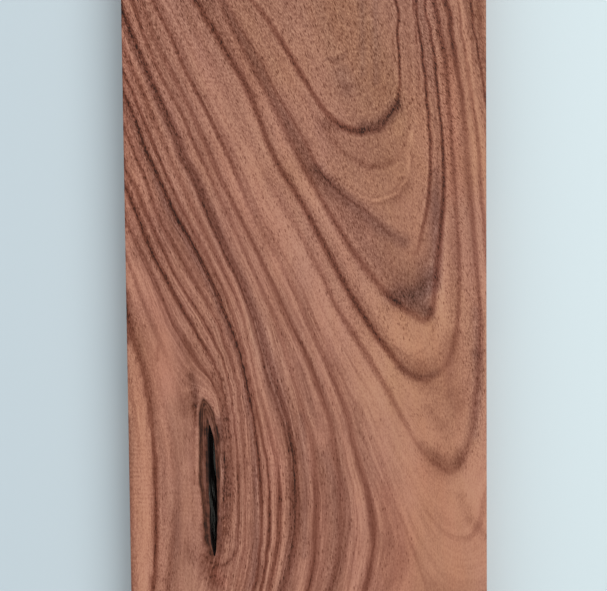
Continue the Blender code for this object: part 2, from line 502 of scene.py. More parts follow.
# Soft strokes for what doesn't follow the growth, in mm, set by comparing renders with the
# photo: path, reach, darkness, more pores, redder
softStrokes = (
    (((-90, 148), (90, 148)), 34, 0.035, 0.1, -0.2),
    (((-95, 120), (-78, 60), (-70, 30)), 16, 0.035, 0.1, -0.2),
    (((40, -30), (62, -66)), 26, -0.035, -0.2, 0.15),
    (((70, -95), (66, -150)), 26, -0.025, -0.3, 0.3),
    (((40, -100), (46, -125), (46, -147)), 7, 0, 0.1, 0.6),
    (((58, -4), (60, -9)), 3, 0.02, 0.5, -0.6),
    (((63, 50), (63.5, 25), (62, 5)), 3, 0.03, 0.3, -0.5),
    (((8, -80), (13, -95), (14, -120), (10, -150)), 4, 0.04, 0.6, -0.5),
    (((-3, -60), (-1, -90), (-2, -130)), 2, 0.04, 0.2, -0.6),
    (((24, 70), (40, 115)), 20, 0.03, 0.1, -0.1),
    (((-88, 140), (-84, 40)), 12, -0.01, 0, 0.6),
    (((-6, -80), (14, -150)), 20, 0.01, 0, 0.4),
    (((-80, -40), (-80, -150)), 11, -0.03, -0.3, 0.5),
    (((-34, 60), (-14, 20)), 18, -0.02, 0, 0.1),
    (((-18, -84), (-15, -134)), 8, -0.025, 0.1, 0.1),
    (((10, 84.5), (20, 81), (28, 80)), 1.9, 0.08, 0.1, -0.2),
    (((29, 82), (35, 82.5), (41, 87), (44.5, 92.5)), 3, 0.15, 0.5, -0.8),
    (((46, 92), (46.6, 98)), 1.2, 0.12, 0, 0),
    (((6, 62), (22, 46), (38, 32), (48, 26)), 3.2, 0.11, 0.4, -0.6),
    (((42, 0), (53, 2), (62, 9)), 3.6, 0.11, 0.5, -0.8),
    (((45, -3), (59, -8)), 3.6, 0.14, 0.6, -0.8),
    (((54, -1), (62, 2)), 3.6, 0.05, 0.6, -0.9),
    (((62, 14), (62, -2)), 3, -0.06, 0, -0.1),
    (((46, 6), (58, 12)), 5, 0.03, 0.3, -0.3),
    (((51, -2), (58, 1)), 4, 0.04, 0.3, -0.5),
    (((64, 60), (65.5, 30), (64.5, 5)), 2.4, 0.045, 0.6, -0.5),
    (((68, 30), (70, -14)), 7, -0.05, 0, 0),
    (((71.5, 30), (71.5, -8)), 3, 0.06, 0, 0),
    (((73.5, -20), (73, -56)), 3.6, 0.05, 0, 0.1),
    (((69.5, -35), (70, -50)), 2.6, 0.05, 0, 0.1),
    (((22, -22), (24, -36)), 8, 0.035, 0, 0),
    (((40, -62), (46, -92)), 8, 0.03, 0, 0),
    (((62, -92), (66, -150)), 12, 0.028, 0, 0),
    (((62, -44), (66, -52)), 7, 0.03, 0.1, 0),
    (((42, -26), (44, -34)), 7, -0.025, 0, 0),
    (((-20, 96), (-18, 70)), 8, -0.03, 0, 0),
    (((-40, 74), (-36, 66)), 7, 0.025, 0, 0),
    (((-80, 140), (-78, 116)), 8, -0.02, 0, 0),
    (((62, -24), (66, -34)), 8, -0.035, 0, 0.1),
    (((-80, 20), (-76, -12)), 8, 0.03, 0.1, 0),
    (((67, 24), (68, -12)), 6, -0.03, 0, 0),
    (((26, 32), (36, 18), (46, 6)), 8, 0.04, 0.5, -0.1),
    (((-62, -40), (-61, -76)), 6, 0.03, 0.1, 0),
    (((34, 100), (42, 68)), 9, 0.02, 0.1, 0),
    (((38, -22), (44, -27.5), (51, -30.3), (57, -28.5), (61.5, -22), (65, -10)), 1, 0.04, 0, 0),
    (((62, 142), (62, 126)), 8, -0.025, 0, 0.1),
    (((0, 54), (5, 48)), 8, -0.035, 0, 0),
    (((-80, -6), (-78, -50)), 9, 0.035, 0.1, 0.2),
    (((-61, -26), (-59, -54)), 6.5, 0.06, 0.2, 0),
    (((60, -88), (66, -112)), 9, 0.025, 0, 0.2),
    (((-18, 56), (-16, 28)), 8, 0.02, 0.1, 0),
    (((-80, 56), (-76, 48)), 8, -0.03, 0, 0),
    (((70, 112), (72, 84), (73, 50)), 5, 0, 0.2, 0.8),
    (((8, 86), (14, 75), (22, 67.5), (32, 63), (43, 66)), 2.2, 0.045, 0.5, 0),
    (((7, 66), (11, 61)), 2.4, -0.06, 0, 0),
    (((18, 145), (24, 110), (34, 90)), 17, 0, 0, -0.3),
    (((9, 61.5), (18.6, 53.6), (27, 48), (36, 46.4), (44.5, 49.8), (50, 57), (52.5, 80)),
     0.6, -0.07, -0.5, 0.1),
    (((8, 60.5), (18, 52), (27, 46.4), (36, 44.8), (45.5, 48.4), (51.4, 57), (54, 80)), 0.5, 0.05, 0, 0.1),
    (((10, 62.5), (19, 55), (28, 49.4), (36, 47.8), (43.8, 51), (48.8, 58)), 0.5, 0.04, 0, 0.1),
    (((44, 47), (49, 54)), 3.5, 0.05, 0.6, 0),
    (((46, -36), (52, -40), (57, -41.3), (64, -39)), 1.9, 0.08, 0.2, -0.5),
    (((64, -82), (70, -87.5), (76, -83)), 3.6, 0.08, 0.6, 0),
    (((56, -75), (66, -84)), 3.4, 0.06, 0.4, -0.3),
    (((74, -84), (80, -75)), 3.2, 0.08, 0.4, -0.3),
    (((62, -78), (75, -80)), 5, 0.02, 0.7, 0),
    (((60, -57), (66, -65)), 3.8, 0.05, 0.7, 0),
    (((83.5, -8), (84.5, -30)), 2.2, 0.05, 0.2, -0.5),
    (((84.5, -30), (84.5, -48), (82.5, -70)), 3, 0.08, 0.2, -0.6),
    (((76, -101), (80, -112), (89, -121)), 2.6, 0.06, 0.2, 0),
    (((10.5, 115.5), (13.6, 114.9), (16.8, 115.2), (19.9, 117.1), (20.6, 119)), 0.9, 0.09, 0, -0.3),
    (((11.5, 118), (16, 118), (19, 120.5)), 1.4, -0.025, -0.4, 0),
    (((20, 101.6), (20.4, 100.8)), 1.1, 0.12, 0, 0.2),
    (((18, 108), (21, 101)), 4.5, 0.045, 0.3, -0.5),
    (((28.6, 108), (28.6, 145)), 1.6, 0.03, 0.2, -0.5),
    (((34.9, 104), (34.9, 145)), 1.9, 0.03, 0.2, -0.5),
    (((-88.5, -60), (-88.5, -150)), 1.8, 0.1, 0, -0.2),
    (((-74, -25), (-74, -31)), 1, 0.07, 0, 0.3),
    (((-82, 10), (-73, -20), (-66, -45)), 7, -0.03, -0.5, 0.5),
    (((-89, 2), (-88.6, -22)), 1.8, 0.16, 0, 0.3),
    (((-57.5, -39), (-56, -45), (-55.4, -54)), 1.9, 0.13, 0.2, -0.5),
    (((-55.8, -54), (-55.8, -68)), 1.2, 0.11, 0, 0.2),
    (((-56.8, -70), (-56.2, -92)), 2.2, 0.05, 0, 0.2),
    (((-42, -60), (-41, -98)), 2.4, 0.04, 0.35, -0.4),
    (((-42, -98), (-41.5, -122)), 2.4, 0.02, 0.25, -0.1),
    (((-42.1, -110), (-42, -119)), 0.7, 0.1, 1, 0),
    (((-50.1, -66), (-50.3, -80), (-50.4, -95), (-50, -110), (-49.5, -124)), 0.7, 0.07, 0, -1.2),
    (((-46.1, -66), (-45.4, -76), (-45, -88), (-44.7, -98), (-44.7, -110), (-45.2, -122)),
     0.8, 0.06, 0, -0.8),
    (((-39.8, -54), (-39.5, -120)), 2.2, 0.035, 0.5, 0),
    (((-50, -132), (-47, -142)), 4, 0.09, 0.3, 0.2),
    (((-55.3, -54), (-55.2, -64)), 1.1, 0.09, 0.1, 0),
    (((-51.7, -57), (-51.8, -67)), 1.8, 0.07, 0, 0),
    (((-44.6, -61), (-43.4, -66), (-42.6, -71)), 1.1, 0.12, 0.2, -0.4),
    (((-42, -78), (-41.9, -92), (-42.2, -104)), 0.9, 0.1, 0.2, -0.3),
    (((-43, -106), (-43.3, -116), (-43.3, -128)), 1, 0.1, 0.3, -0.3),
    (((-45, -110), (-45, -118), (-44.8, -130)), 1, 0.11, 0, -0.4),
    (((-53, -114), (-52.4, -124)), 1.3, 0.11, 0, -0.3),
    (((-51, -120), (-50.6, -130)), 1, 0.07, 0, -0.2),
    (((-41, -88), (-41, -100)), 0.8, 0.07, 0.2, 0),
    (((-54.4, -54), (-54.9, -70), (-55, -92)), 0.6, -0.1, -0.5, -0.1),
    (((-53.4, -58), (-53.3, -78), (-53.8, -92), (-52.2, -104), (-51.4, -120)), 0.8, 0.06, 0, 0),
    (((-51.8, -60), (-50.6, -64)), 0.8, -0.08, 0, -0.3),
    (((-52, -81), (-51.2, -94)), 0.8, -0.08, 0, -0.3),
    (((-48.8, -60), (-47.7, -64), (-46.9, -67.5)), 0.6, -0.13, 0, -0.4),
    (((-44.8, -75), (-43.4, -81), (-42.3, -88), (-41.4, -98)), 0.6, -0.14, 0, -0.2),
    (((-45.3, -78), (-44.6, -90)), 1, 0.04, 0, 0.5),
    (((-44.6, -64), (-43.8, -70), (-42.7, -75), (-41.4, -80), (-40.3, -87)), 0.6, 0.11, 0, 0),
    (((-42, -95), (-43, -105)), 0.6, 0.08, 0, 0),
    (((-41, -104), (-41.4, -110)), 1.4, 0.04, 0, -0.6),
    (((-49, -128), (-46, -134)), 2.2, 0.07, 0.2, 0),
    (((-36.3, -127), (-38.6, -131.6), (-43, -135)), 0.7, 0.1, 0, 0.3),
    (((-49.4, -136.2), (-47, -136)), 0.6, 0.1, 0, 0.2),
    (((-49.2, -139.5), (-48.6, -140.5)), 0.7, 0.1, 0, 0.2),
    (((-46.5, -138), (-43, -144)), 3.2, -0.03, -0.3, 0.9),
    (((-58, -128), (-47, -142)), 5.5, 0.05, 0.6, -0.1),
    (((-34.5, -84), (-34.6, -99), (-35, -120), (-36.4, -127), (-39.5, -132.8), (-44.5, -135)),
     1.1, 0.08, 0, -0.2),
)

# Where the wood turns from rose to gold: path, reach, how golden
goldenAreas = (
    (((18, 145), (30, 105), (40, 90)), 18, 0.75),
    (((20, 145), (46, 90), (50, 30)), 24, 0.5),
    (((-30, 140), (-15, 110)), 16, 0.5),
    (((84, 140), (84, 60)), 14, 0.6),
    (((-6, 60), (30, 54), (50, 60)), 14, 0.35),
    (((66, -20), (66, -150)), 22, 0.7),
    (((-84, -20), (-84, -150)), 9, 0.4),
    (((50, 0), (40, -40)), 20, 0.5),
)

# Where the short flecks cross the growth lines: path, reach, share
slantedAreas = (
    (((62, 140), (72, 90), (76, 30)), 11, 1.0),
    (((50, -56), (58, -72)), 7, 0.8),
)

# Where the planer's knife marks catch the light: path, reach, share
knifeAreas = (
    (((-86, -78), (-84, -102)), 7, 1.0),
    (((-60, -95), (-60, -120)), 6, 0.35),
)


# Curves and fields
def throughPoints(points, step):
    # A smooth curve through the points, sampled about every step mm
    place = np.array(points, float)
    place = np.vstack([2 * place[0] - place[1], place, 2 * place[-1] - place[-2]])
    samples = []
    for before, start, end, after in zip(place, place[1:], place[2:], place[3:]):
        count = max(1, int(round(math.dist(start, end) / step)))
        for t in np.arange(count) / count:
            samples.append(0.5 * (2 * start + (end - before) * t
                                  + (2 * before - 5 * start + 4 * end - after) * t ** 2
                                  + (3 * start - before - 3 * end + after) * t ** 3))
    samples.append(place[-2])
    return np.array(samples)


def spacedOut(points, least):
    kept = [points[0]]
    for point in points[1:]:
        if math.dist(point, kept[-1]) >= least:
            kept.append(point)
    return kept


def plateKernel(squared):
    return 0.5 * squared * np.log(squared + 1e-9)


def growGrain(lines, scale=100.0, give=2e-5):
    # One smooth sheet through every trace (a thin plate spline): place on the face to age
    places = []
    ages = []
    for line in lines.values():
        for trace in line.get("traces", ()):
            kept = spacedOut(throughPoints(trace, 6.0), 5.0)
            places += kept
            ages += [line["age"]] * len(kept)
    places = np.array(places) / scale
    count = len(places)
    gaps = ((places[:, None] - places[None]) ** 2).sum(-1)
    system = np.zeros((count + 3, count + 3))
    system[:count, :count] = plateKernel(gaps) + np.eye(count) * give
    system[:count, count] = 1
    system[count, :count] = 1
    system[:count, count + 1:] = places
    system[count + 1:, :count] = places.T
    weights = np.linalg.solve(system, np.concatenate([ages, np.zeros(3)]))
    print("grain grown from", count, "points of", len(lines), "lines")
    return {"places": places, "weights": weights, "scale": scale}


def grainAt(grain, x, y, batch=4000):
    # Age at each place, and how fast it changes there for each mm
    places, weights, scale = grain["places"], grain["weights"], grain["scale"]
    count = len(places)
    asked = np.stack([x, y], -1) / scale
    ages = np.empty(len(asked))
    slopes = np.empty(len(asked))
    for start in range(0, len(asked), batch):
        rows = slice(start, start + batch)
        part = asked[rows]
        acrossX = part[:, None, 0] - places[None, :, 0]
        acrossY = part[:, None, 1] - places[None, :, 1]
        squared = acrossX ** 2 + acrossY ** 2
        logs = np.log(squared + 1e-9)
        ages[rows] = (0.5 * squared * logs) @ weights[:count] + weights[count] + part @ weights[count + 1:]
        pull = (logs + 1) * weights[:count]
        slopeX = (acrossX * pull).sum(1) + weights[count + 1]
        slopeY = (acrossY * pull).sum(1) + weights[count + 2]
        slopes[rows] = np.hypot(slopeX, slopeY) / scale
    return ages, slopes


def alongProfile(profile, y, column):
    ordered = sorted(profile)
    return np.interp(y, [entry[0] for entry in ordered], [entry[column] for entry in ordered])


def betweenSides(sides, column, y, right, missing):
    # A value on the left side of the arches, turning into the one on their right
    left = alongProfile(sides["left"], y, column)
    return left + (alongProfile(sides.get("right", missing), y, column) - left) * right


def rightOfSpine(x, y):
    return np.clip((x - alongProfile(archSpine, y, 1)) / 5 + 0.5, 0, 1)


def softStep(low, high, value):
    share = np.clip((value - low) / (high - low), 0, 1)
    return share * share * (3 - 2 * share)


def distanceToPath(x, y, path):
    nearest = np.full(len(x), 1e9)
    for (startX, startY), (endX, endY) in zip(path, path[1:]):
        runX, runY = endX - startX, endY - startY
        share = np.clip(((x - startX) * runX + (y - startY) * runY) / (runX ** 2 + runY ** 2), 0, 1)
        nearest = np.minimum(nearest, np.hypot(x - startX - share * runX, y - startY - share * runY))
    return nearest


def nearPath(x, y, path, reach):
    # 1 on the path, fading out softly
    return np.exp(-(distanceToPath(x, y, path) / reach) ** 2)


def spread(areas, x, y):
    return sum(nearPath(x, y, path, reach) * amount for path, reach, amount in areas)


def lineInk(x, y, age):
    # How dark and how wide the growth lines are near each place
    drawn = [line for line in growthLines.values() if "left" in line]
    ages = np.array([line["age"] for line in drawn])
    right = rightOfSpine(x, y)
    after = np.clip(np.searchsorted(ages, age), 1, len(ages) - 1)
    share = softStep(0.38, 0.62, (age - ages[after - 1]) / (ages[after] - ages[after - 1]))
    ink = np.zeros(len(x))
    wide = np.zeros(len(x))
    for number, line in enumerate(drawn):
        near = np.where(after == number, share, 0) + np.where(after - 1 == number, 1 - share, 0)
        ink += near * betweenSides(line, 1, y, right, unseenRight)
        wide += near * betweenSides(line, 2, y, right, unseenRight)
    return ink, wide


def softTones(x, y, age):
    # Darkness, pores, redness and gold from the broad bands and the strokes
    right = rightOfSpine(x, y)
    golden = 0.05 + spread(goldenAreas, x, y)
    dark = np.zeros(len(x))
    pores = np.zeros(len(x))
    red = np.zeros(len(x))
    for band in growthBands.values():
        amount = betweenSides(band, 1, y, right, noTone)
        near = np.exp(-((age - band["age"]) / band["reach"]) ** 2)
        dark += near * amount
        strength = near * np.clip(np.abs(amount) / 0.1, 0, 1)
        pores += strength * band["pores"]
        red += strength * band["red"]
    for path, reach, darker, morePores, redder in softStrokes:
        near = nearPath(x, y, path, reach)
        dark += near * darker
        pores += near * morePores
        red += near * redder
    golden = np.minimum(golden, 1.8) + np.minimum(red, 0) * 0.9
    return dark, pores, red, golden


# The knot: the outline of its eye, and the pocket where its heart has gone. Left and right
# outline from its top to its foot, in mm
knot = {
    "left": ((-51.8, -49.6), (-53, -52.4), (-53.8, -56), (-54.1, -61), (-54.2, -75), (-54.6, -90),
             (-53.6, -98), (-52.9, -107), (-52.4, -118), (-51.4, -125), (-48.6, -131.5)),
    "right": ((-51.8, -49.6), (-49.4, -51.8), (-47.3, -55), (-45.9, -58.6), (-44.9, -63),
              (-43.8, -69), (-43.2, -75), (-43.2, -87), (-43.8, -99), (-44.7, -112),
              (-45.2, -122), (-45.9, -128), (-48.6, -131.5)),
    # Pocket: place along the board, left and right wall at the surface, and depth
    "pocket": ((-64.0, -49.0, -48.4, 2.0), (-67.0, -49.3, -47.5, 5.2), (-70.0, -49.7, -46.7, 8.3),
               (-75.0, -49.7, -46.1, 11.2), (-82.0, -49.6, -45.9, 13.6), (-90.0, -49.6, -45.5, 15.2),
               (-97.0, -49.4, -45.3, 16.0), (-105.0, -49.2, -45.4, 15.8), (-112.0, -49.3, -45.4, 14.8),
               (-118.0, -49.2, -45.6, 13.0), (-123.0, -48.8, -45.9, 9.8), (-127.0, -48.0, -46.1, 6.2),
               (-129.8, -47.3, -46.7, 2.0)),
    # How it narrows on its way down: share of the depth, share of the width
    "walls": ((0.0, 1.0), (0.12, 0.97), (0.3, 0.9), (0.45, 0.84), (0.65, 0.7), (0.8, 0.56),
              (0.92, 0.38), (1.0, 0.22)),
    "lean": 0.05,               # sideways travel for each mm of depth
    "slice": 1.0,               # mm between slices along the pocket
    "raggedLip": 0.12,          # mm
    "raggedWall": 0.55,         # mm
    "cutterStandsOut": 3,       # mm above the show face
    "bulge": 4.5,               # mm that the fibres part round it
}


def pocketAt(y):
    stations = sorted(knot["pocket"])
    along = [station[0] for station in stations]
    return [np.interp(y, along, [station[column] for station in stations]) for column in (1, 2, 3)]


def knotDistance(x, y):
    # How far inside the knot's eye a place is, in mm; less than 0 outside it
    outline = np.vstack([throughPoints(knot["left"], 2.0), throughPoints(knot["right"], 2.0)[::-1][1:-1]])
    ring = [tuple(point) for point in outline]
    inside = np.zeros(len(x), bool)
    for (startX, startY), (endX, endY) in zip(ring, ring[1:] + ring[:1]):
        if startY == endY:
            continue
        crossing = (y > min(startY, endY)) & (y <= max(startY, endY))
        reach = startX + (y - startY) * (endX - startX) / (endY - startY)
        inside ^= crossing & (x < reach)
    distance = distanceToPath(x, y, ring + ring[:1])
    return np.where(inside, distance, -distance)


def acrossFibres(x, y):
    # Sideways place of the fibre through each point: the fibres lean down to the right at the
    # top, run straight at the foot, and part round the knot
    within = np.clip(y, -160, 165)
    lean = 0.19 * within + 0.00062 * within ** 2 + (y - within) * (0.19 + 0.00124 * within)
    offSide = x + 48.5
    bulge = knot["bulge"] * np.exp(-((y + 92) / 42) ** 2) * np.exp(-(offSide / 13) ** 2)
    return x + lean - np.tanh(offSide / 4) * bulge


# The plank's mesh
def markOff(start, end, usual, finer):
    places = [start]
    while places[-1] < end:
        step = usual
        for fineStart, fineEnd, fineStep in finer:
            if fineStart <= places[-1] < fineEnd:
                step = fineStep
        places.append(places[-1] + step)
    places[-1] = end
    if places[-1] - places[-2] < usual * 0.3:
        del places[-2]
    return places


def withEasing(places):
    # Two more marks past each end, for the eased edge
    radius = plank["easedEdge"]
    before = [places[0] - radius, places[0] - radius * 0.35]
    after = [places[-1] + radius * 0.35, places[-1] + radius]
    return np.array(before + list(places) + after)


def makeShell():
    radius = plank["easedEdge"]
    knotCell = plank["cellAtKnot"]
    farX, farY = halfWidth - radius, halfLength - radius
    across = withEasing(markOff(-farX, farX, plank["cell"], [(-57.5, -40.5, knotCell)]))
    along = withEasing(markOff(-farY, farY, plank["cellFarEnds"],
                               [(plank["seenFrom"], plank["seenTo"], plank["cellAlong"]),
                                (-134, -48, knotCell)]))
    down = withEasing(markOff(radius, thickness - radius, plank["cellDown"], []))
    counts = (len(across), len(along), len(down))
    onSkin = np.ones(counts, bool)
    onSkin[1:-1, 1:-1, 1:-1] = False
    numbers = np.full(counts, -1)
    numbers[onSkin] = np.arange(onSkin.sum())
    x, y, z = np.meshgrid(across, along, down, indexing="ij")
    points = np.stack([x[onSkin], y[onSkin], z[onSkin]], -1)
    innerLow = np.array([-farX, -farY, radius])
    innerHigh = np.array([farX, farY, thickness - radius])
    nearest = np.clip(points, innerLow, innerHigh)
    outwards = points - nearest
    outwards /= np.linalg.norm(outwards, axis=1)[:, None]
    points = nearest + outwards * radius
    faces = []
    for sheet, turned in ((numbers[:, :, -1], False), (numbers[:, :, 0], True), (numbers[-1], False),
                          (numbers[0], True), (numbers[:, -1, :], True), (numbers[:, 0, :], False)):
        corners = [sheet[:-1, :-1], sheet[1:, :-1], sheet[1:, 1:], sheet[:-1, 1:]]
        quads = np.stack(corners, -1).reshape(-1, 4)
        faces.append(quads[:, ::-1] if turned else quads)
    mesh = bpy.data.meshes.new("plank")
    mesh.from_pydata((points * mm).tolist(), [], np.vstack(faces).tolist())
    mesh.validate()
    return bpy.data.objects.new("plank", mesh)


def pocketSlice(y):
    # One ragged slice across the pocket, from its left lip down and round to its right lip
    left, right, depth = pocketAt(y)
    middle, half = (left + right) / 2, (right - left) / 2
    lip = knot["raggedLip"]
    wall = knot["raggedWall"]
    sides = ([], [])
    for depthShare, widthShare in knot["walls"]:
        below = depth * depthShare
        centre = middle - knot["lean"] * below
        rough = lip + (wall - lip) * min(1.0, depthShare * 4)
        for side, sign in ((0, -1), (1, 1)):
            tear = noise.noise(Vector((sign * 7.3, y * 0.45, below * 0.3))) * rough
            tear += noise.noise(Vector((sign * 3.1, y * 1.7, below * 0.9))) * rough * 0.5
            offset = max(0.12, half * widthShare + tear * min(1.0, max(0.0, half - 0.9)))
            sides[side].append(Vector((centre + sign * offset, y, thickness - below)))
    above = Vector((0, 0, knot["cutterStandsOut"]))
    mouthLeft = sides[0][0] + above
    mouthRight = sides[1][0] + above
    return [mouthLeft] + sides[0] + sides[1][::-1] + [mouthRight]


def makePocketCutter():
    first, last = knot["pocket"][0][0], knot["pocket"][-1][0]
    count = int(round((first - last) / knot["slice"])) + 1
    loft = bmesh.new()
    rings = []
    for y in np.linspace(first, last, count):
        rings.append([loft.verts.new(point * mm) for point in pocketSlice(float(y))])
    corners = len(rings[0])
    for upper, lower in zip(rings, rings[1:]):
        for corner in range(corners):
            following = (corner + 1) % corners
            loft.faces.new((upper[corner], upper[following], lower[following], lower[corner]))
    loft.faces.new(rings[0][::-1])
    loft.faces.new(rings[-1])
    bmesh.ops.triangulate(loft, faces=loft.faces)
    mesh = bpy.data.meshes.new("pocketCutter")
    loft.to_mesh(mesh)
    loft.free()
    return bpy.data.objects.new("pocketCutter", mesh)


def cutPocket(shell, cutter):
    # The cut plank as a plain mesh, with cutter and modifier gone
    for worker in (shell, cutter):
        bpy.context.scene.collection.objects.link(worker)
    cut = shell.modifiers.new("pocket", "BOOLEAN")
    cut.operation = "DIFFERENCE"
    cut.solver = "EXACT"
    cut.object = cutter
    graph = bpy.context.evaluated_depsgraph_get()
    mesh = bpy.data.meshes.new_from_object(shell.evaluated_get(graph))
    for worker in (shell, cutter):
        bpy.data.objects.remove(worker, do_unlink=True)
    mesh.name = "rosewoodPlank"
    piece = bpy.data.objects.new("rosewoodPlank", mesh)
    bpy.context.scene.collection.objects.link(piece)
    mesh.shade_smooth()
    mesh.set_sharp_from_angle(angle=math.radians(plank["sharpFrom"]))
    return piece


def addField(mesh, name, values):
    field = mesh.attributes.new(name, "FLOAT", "POINT")
    field.data.foreach_set("value", np.ascontiguousarray(values, np.float32))


def growFigure(piece):
    mesh = piece.data
    points = np.empty(len(mesh.vertices) * 3)
    mesh.vertices.foreach_get("co", points)
    points = points.reshape(-1, 3) / mm
    x, y, z = points.T
    depth = thickness - z
    left, right, pocketDepth = pocketAt(y)
    inPocket = (depth > 0.02) & (depth < pocketDepth + 1) & (x > left - 3) & (x < right + 3)
    inPocket &= (y < knot["pocket"][0][0] + 0.5) & (y > knot["pocket"][-1][0] - 0.5)
    moved = y + plank["ringLean"] * np.where(inPocket, 0, depth)
    age, slope = grainAt(growGrain(growthLines), x, moved)
    ink, wide = lineInk(x, moved, age)
    dark, pores, red, golden = softTones(x, moved, age)
    streaky = (0.2 + 0.8 * softStep(80, -10, moved)) * softStep(50, 80, age)
    toEnd = halfLength - np.abs(y)
    easing = plank["easedEdge"]
    fields = {
        "age": age,
        "slope": np.clip(slope, 0.15, 1.2),
        "ink": ink,
        "inkWide": wide * slope,
        "dark": dark,
        "pores": pores,
        "red": red,
        "golden": golden,
        "coarse": np.clip(1 + spread(coarseAreas, x, moved), 0.4, 1.8),
        "slanted": np.clip(spread(slantedAreas, x, moved), 0, 1),
        "streaky": streaky * (1 - 0.7 * softStep(138, 148, age)),
        "knife": np.clip(spread(knifeAreas, x, moved), 0, 1),
        "across": acrossFibres(x, moved),
        "knot": np.clip(knotDistance(x, moved), -8, 8),
        # Depth into the pocket, full after 1.5 mm: it darkens the walls as painted shade, and greys and
        # roughens them as rotted wood
        "hollow": np.where(inPocket, np.clip(depth / 1.5, 0, 1), 0),
        "endGrain": np.clip((easing - toEnd) / easing, 0, 1),
    }
    for name, values in fields.items():
        addField(mesh, name, values)
    print("figure on", len(mesh.vertices), "points, age", round(float(age.min())), "to",
          round(float(age.max())))


# Wood shader
wood = {
    "clean": 0.472,             # brightness of plain wood between lines and pores
    "lineDepth": 0.268,         # how much darker the darkest line is
    "lineReach": 1.08,          # where a line has faded out, in widths
    "waver": 0.8,               # how far the lines wander along the fibres
    "poreDepth": 0.15,
    "poreShare": 0.24,
    "streak": 0.042,            # long fine streaks along the fibres
    "ringStreak": 0.04,         # finer ones that follow the growth lines
    "patches": 0.07,            # light and dark patches in porous wood
    "rim": 0.03,                # paler wood beside a line
    "slant": 36,                # degrees
    "speck": 0.11,              # short flecks
    "mottle": 2.2,              # how much rougher both get in dark wood
    "cloud": 0.02,              # slow drift between lighter and darker wood
    "knifeSpacing": 2.22,       # mm between the planer's marks
    # painted light and shade of the planer's ripples
    "knifeLightAndShade": 0.02,
    "eyeShade": (0.26, 0.21),   # brightness of the knot's eye: at its rim, and further in
    "eyeRings": (3.4, 1.1),     # mm between its broad and its fine rings
    "eyeRingDepth": 0.035,
    "eyeRed": -1.1,
    "rotAndPaintedShade": 0.14,           # brightness of the pocket walls: rotted wood, with painted shade of the recess
    "rotColour": 0.45,          # how much of their colour is left
    "endGrain": 0.22,           # how much darker the sawn ends are
    "gold": 0.15,
    "gloss": 0.5,
    "relief": 0.06,             # mm
}

# Wood colours (0 to 255) by brightness (0 black, 1 white), matched to the photo's browns
woodColours = ((0.05, (23, 12, 7)), (0.13, (55, 27, 16)), (0.17, (73, 36, 22)),
               (0.235, (100, 55, 39)), (0.33, (122, 75, 59)), (0.43, (148, 99, 81)),
               (0.51, (174, 123, 102)), (0.60, (187, 138, 115)))


def toLinear(value):
    share = value / 255
    return share / 12.92 if share <= 0.04045 else ((share + 0.055) / 1.055) ** 2.4


class Shop:
    # Short hand for laying shader nodes
    def __init__(self, tree):
        self.tree = tree

    def node(self, kind, **settings):
        made = self.tree.nodes.new(kind)
        for name, value in settings.items():
            setattr(made, name, value)
        return made

    def feed(self, socket, value):
        if isinstance(value, bpy.types.NodeSocket):
            self.tree.links.new(value, socket)
        else:
            socket.default_value = value

    def math(self, operation, first, second=None, third=None, clamp=False):
        made = self.node("ShaderNodeMath", operation=operation, use_clamp=clamp)
        for socket, value in zip(made.inputs, (first, second, third)):
            if value is not None:
                self.feed(socket, value)
        return made.outputs[0]

    def vector(self, operation, first, second=None, scale=None):
        made = self.node("ShaderNodeVectorMath", operation=operation)
        self.feed(made.inputs[0], first)
        if second is not None:
            self.feed(made.inputs[1], second)
        if scale is not None:
            self.feed(made.inputs["Scale"], scale)
        return made.outputs[0]

    def field(self, name):
        return self.node("ShaderNodeAttribute", attribute_name=name).outputs["Fac"]

    def between(self, value, low, high, toLow=0.0, toHigh=1.0, soft=True):
        made = self.node("ShaderNodeMapRange", interpolation_type="SMOOTHSTEP" if soft else "LINEAR")
        for socket, given in zip(made.inputs, (value, low, high, toLow, toHigh)):
            self.feed(socket, given)
        return made.outputs["Result"]

    def grainNoise(self, coordinates, sizes, detail=2.0, roughness=0.55, seed=0.0):
        # Noise around 0, mostly from -1 to 1, with its blotches sized in mm across, along and down
        scaled = self.vector("MULTIPLY", coordinates, tuple(1 / size for size in sizes))
        moved = self.vector("ADD", scaled, (seed * 17.3, seed * 5.1, seed * 9.7))
        made = self.node("ShaderNodeTexNoise")
        self.feed(made.inputs["Vector"], moved)
        self.feed(made.inputs["Scale"], 1.0)
        self.feed(made.inputs["Detail"], detail)
        self.feed(made.inputs["Roughness"], roughness)
        return self.math("MULTIPLY_ADD", made.outputs["Fac"], 3.0, -1.5)     # 0 to 1 becomes -1.5 to 1.5

    def blend(self, share, first, second):
        made = self.node("ShaderNodeMix")
        for number, value in ((0, share), (2, first), (3, second)):
            self.feed(made.inputs[number], value)
        return made.outputs[0]

    def ramp(self, value, stops):
        made = self.node("ShaderNodeValToRGB")
        bar = made.color_ramp
        bar.interpolation = "LINEAR"
        while len(bar.elements) > 1:
            bar.elements.remove(bar.elements[-1])
        bar.elements[0].position = stops[0][0]
        bar.elements[0].color = stops[0][1]
        for position, colour in stops[1:]:
            bar.elements.new(position).color = colour
        self.feed(made.inputs["Fac"], value)
        return made.outputs["Color"]


